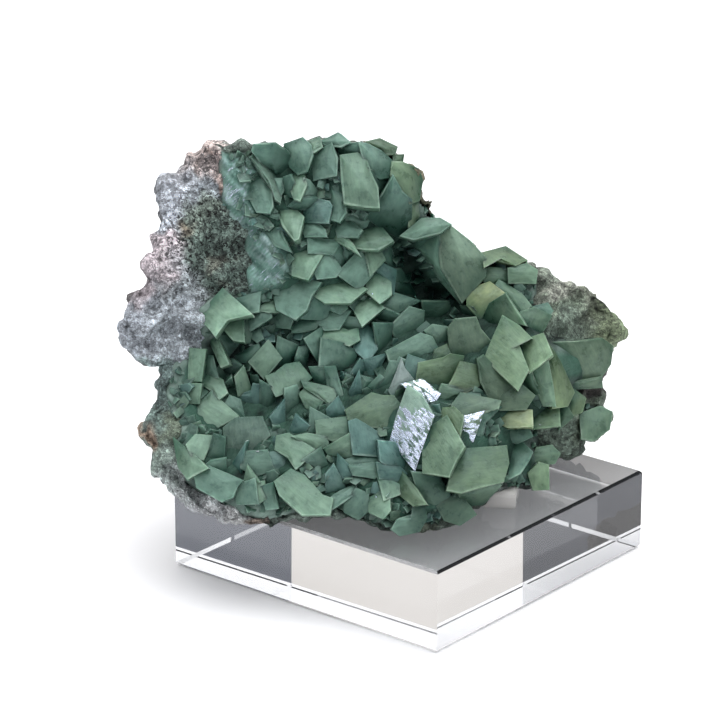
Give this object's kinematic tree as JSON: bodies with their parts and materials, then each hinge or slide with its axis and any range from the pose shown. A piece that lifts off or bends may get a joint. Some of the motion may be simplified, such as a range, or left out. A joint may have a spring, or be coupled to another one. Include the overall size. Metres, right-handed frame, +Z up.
{
  "type": "heulandite specimen",
  "caption": "Green heulandite crystals on a basalt matrix, a display mineral fixed on a square clear acrylic block.",
  "frame": {"origin": "middle of the block's underside", "axes": "+Z up, the display face looks toward -Y, +X runs along the specimen's width to the viewer's right"},
  "size_m": [0.1257, 0.1126, 0.1017],
  "materials": {
    "clear_acrylic": "polished clear cast acrylic",
    "clear_gel": "clear soft mounting gel, glossy",
    "basalt": "rough broken basalt with pale blue-white and pinkish mineral coating",
    "heulandite": "satin translucent green crystal faces, a few pearly and mirror bright"
  },
  "bodies": {
    "root": {"acrylic_block": "clear_acrylic", "mounting_gel": "clear_gel", "basalt_matrix": "basalt", "heulandite_crust": "heulandite"}
  },
  "joints": []
}
